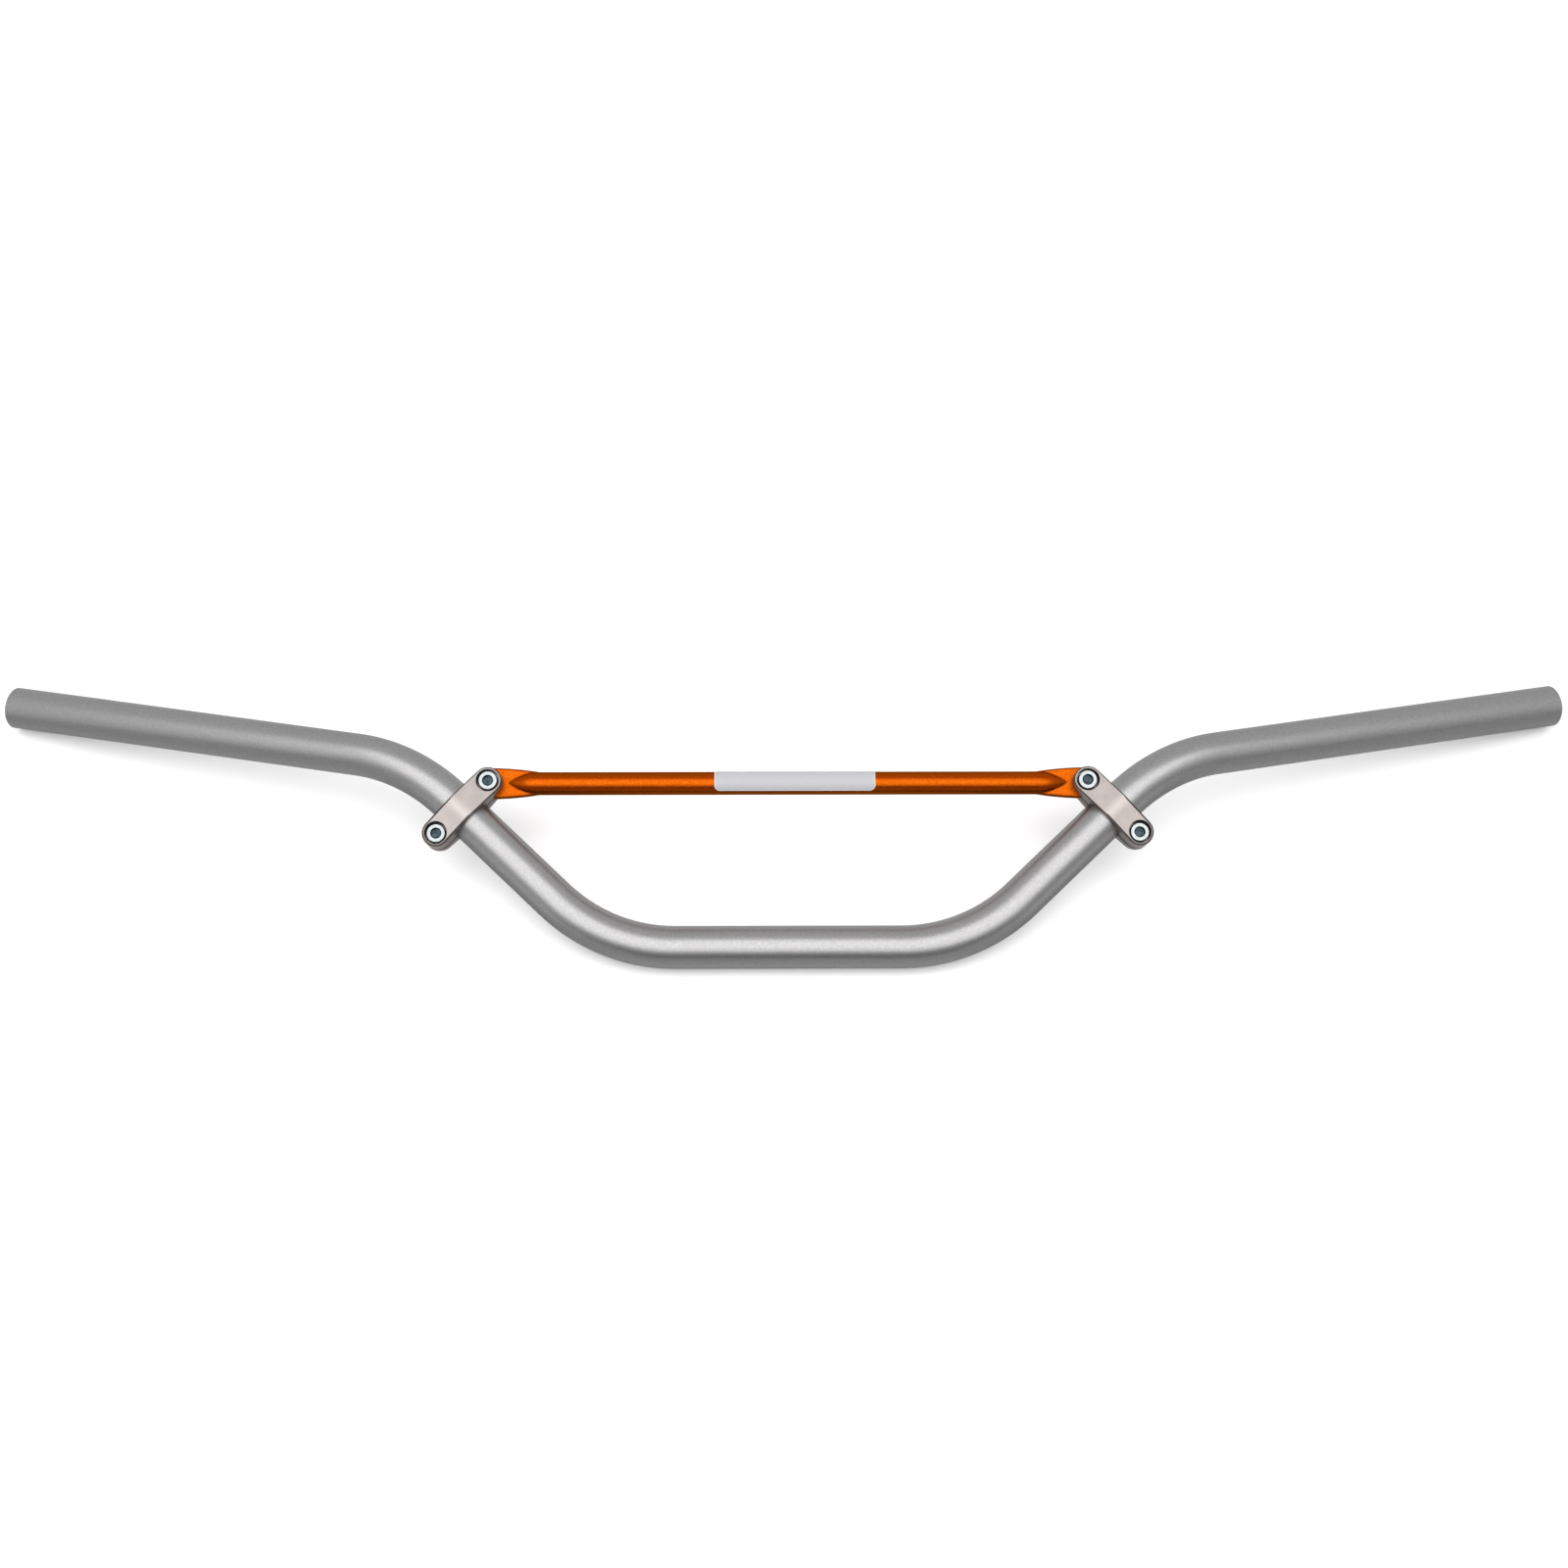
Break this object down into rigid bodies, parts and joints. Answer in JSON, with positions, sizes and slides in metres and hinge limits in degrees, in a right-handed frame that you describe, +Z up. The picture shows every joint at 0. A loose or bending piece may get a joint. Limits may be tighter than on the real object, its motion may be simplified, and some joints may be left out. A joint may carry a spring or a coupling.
{
  "type": "braced handlebar",
  "caption": "Swept tubular off-road handlebar with raised grip ends, braced by a round crossbar with flat eyed ends in two-part bolted clamps.",
  "frame": {"origin": "on the tube's axis, in the middle of the straight length that a stem clamps", "axes": "+X along the bar to the rider's right, as seen in the picture; +Z up; the bar lies as it comes to rest on a table, on its straight middle and both tips, with the grip ends towards +Y"},
  "size_m": [0.8452, 0.1713, 0.0567],
  "materials": {
    "tube_aluminium": "bead-blasted and clear anodised, satin",
    "orange_aluminium": "orange anodised, satin",
    "clamp_aluminium": "forged, tumbled and clear anodised, satin",
    "screw_steel": "bright zinc plated",
    "label_film": "silver polyester film, satin"
  },
  "bodies": {
    "root": {"bar_tube": "tube_aluminium", "crossbar": "orange_aluminium", "crossbar_label": "label_film", "clamp_front_left": "clamp_aluminium", "clamp_front_right": "clamp_aluminium", "clamp_rear_left": "clamp_aluminium", "clamp_rear_right": "clamp_aluminium", "crossbar_screw_left": "screw_steel", "crossbar_screw_right": "screw_steel", "pinch_screw_left": "screw_steel", "pinch_screw_right": "screw_steel"}
  },
  "joints": []
}
